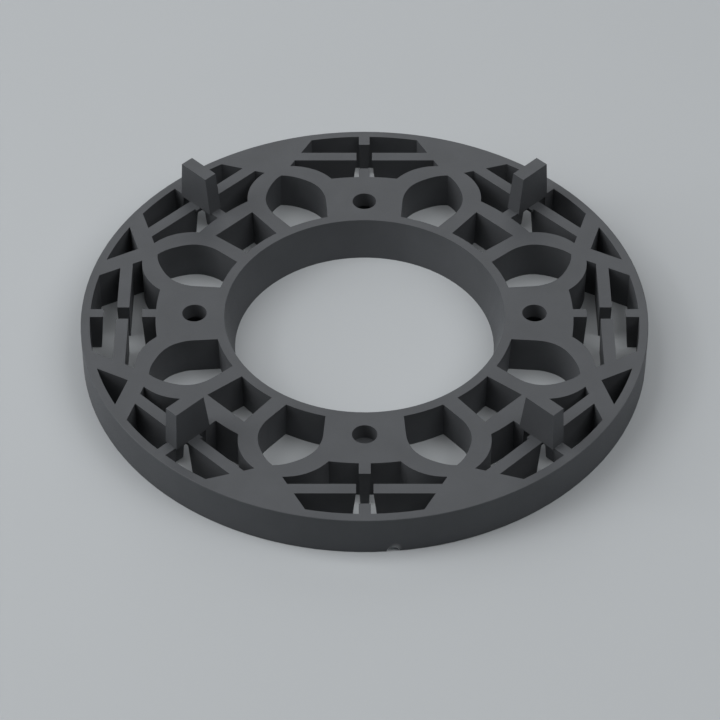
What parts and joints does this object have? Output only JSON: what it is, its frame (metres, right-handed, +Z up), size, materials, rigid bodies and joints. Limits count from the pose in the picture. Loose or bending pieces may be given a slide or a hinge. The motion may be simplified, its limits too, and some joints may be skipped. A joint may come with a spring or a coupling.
{
  "type": "paving support ring",
  "caption": "Flat moulded plastic support ring for raised paving, with a wide bore, petal-shaped windows, a braced web, screw pads and upright spacer tabs.",
  "frame": {"origin": "centre of the underside, on the bore's axis", "axes": "+Z up along the bore's axis, towards the spacer tabs; +X through the screw hole at the right, -Y through the closed screw hole at the front"},
  "size_m": [0.12, 0.12, 0.0184],
  "materials": {
    "black_plastic": "fine matte moulded surface"
  },
  "bodies": {
    "root": {"support_ring": "black_plastic"}
  },
  "joints": []
}
